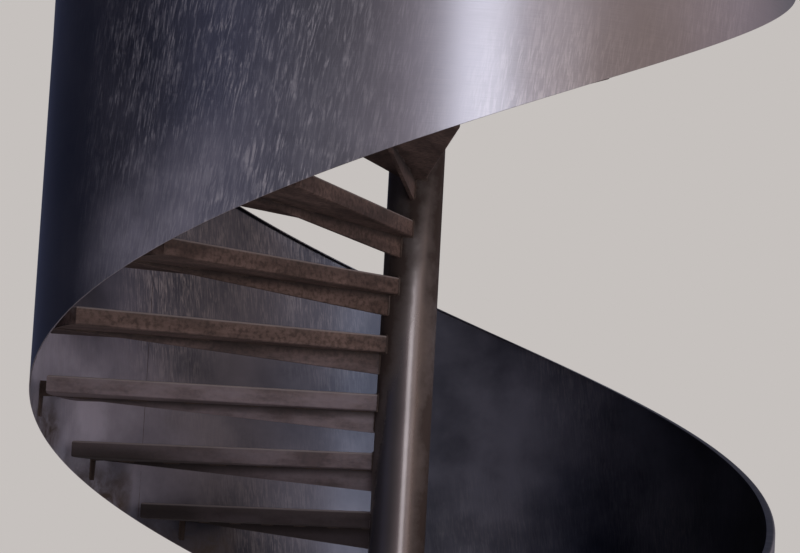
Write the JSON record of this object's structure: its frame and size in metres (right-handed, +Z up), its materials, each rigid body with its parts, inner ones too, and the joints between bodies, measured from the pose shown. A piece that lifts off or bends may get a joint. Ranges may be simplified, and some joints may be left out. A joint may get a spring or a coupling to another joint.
{
  "type": "spiral staircase",
  "caption": "Steel spiral stair: open folded box treads on tapered webs climb round one round column inside a continuous solid helical guard of satin sheet steel, up to a landing.",
  "frame": {"origin": "on the column's axis at the underside of the base plate, at floor level", "axes": "+Z up along the column; -Y is the pictured side; the stair climbs anticlockwise seen from above"},
  "size_m": [2.24, 2.2399, 4.515],
  "materials": {
    "guard_sheet": "satin stainless sheet, rolled, with dusty streaks, smears and fine scratches",
    "column_tube": "drawn steel tube with a dull polish, stained brown near the welds",
    "tread_steel": "folded mild steel, unpainted, with brown site dust and light rust",
    "base_steel": "flame cut mild steel plate with mill scale and dust"
  },
  "bodies": {
    "root": {"base_plate": "base_steel", "column": "column_tube", "column_cap": "column_tube", "tread_01": "tread_steel", "tread_02": "tread_steel", "tread_03": "tread_steel", "tread_04": "tread_steel", "tread_05": "tread_steel", "tread_06": "tread_steel", "tread_07": "tread_steel", "tread_08": "tread_steel", "tread_09": "tread_steel", "tread_10": "tread_steel", "tread_11": "tread_steel", "tread_12": "tread_steel", "tread_13": "tread_steel", "tread_14": "tread_steel", "tread_15": "tread_steel", "tread_16": "tread_steel", "tread_17": "tread_steel", "tread_18": "tread_steel", "landing": "tread_steel", "guard_panel_01": "guard_sheet", "guard_panel_02": "guard_sheet", "guard_panel_03": "guard_sheet", "guard_panel_04": "guard_sheet", "guard_panel_05": "guard_sheet", "guard_panel_06": "guard_sheet", "guard_panel_07": "guard_sheet", "guard_panel_08": "guard_sheet", "guard_level_panel": "guard_sheet"}
  },
  "joints": []
}
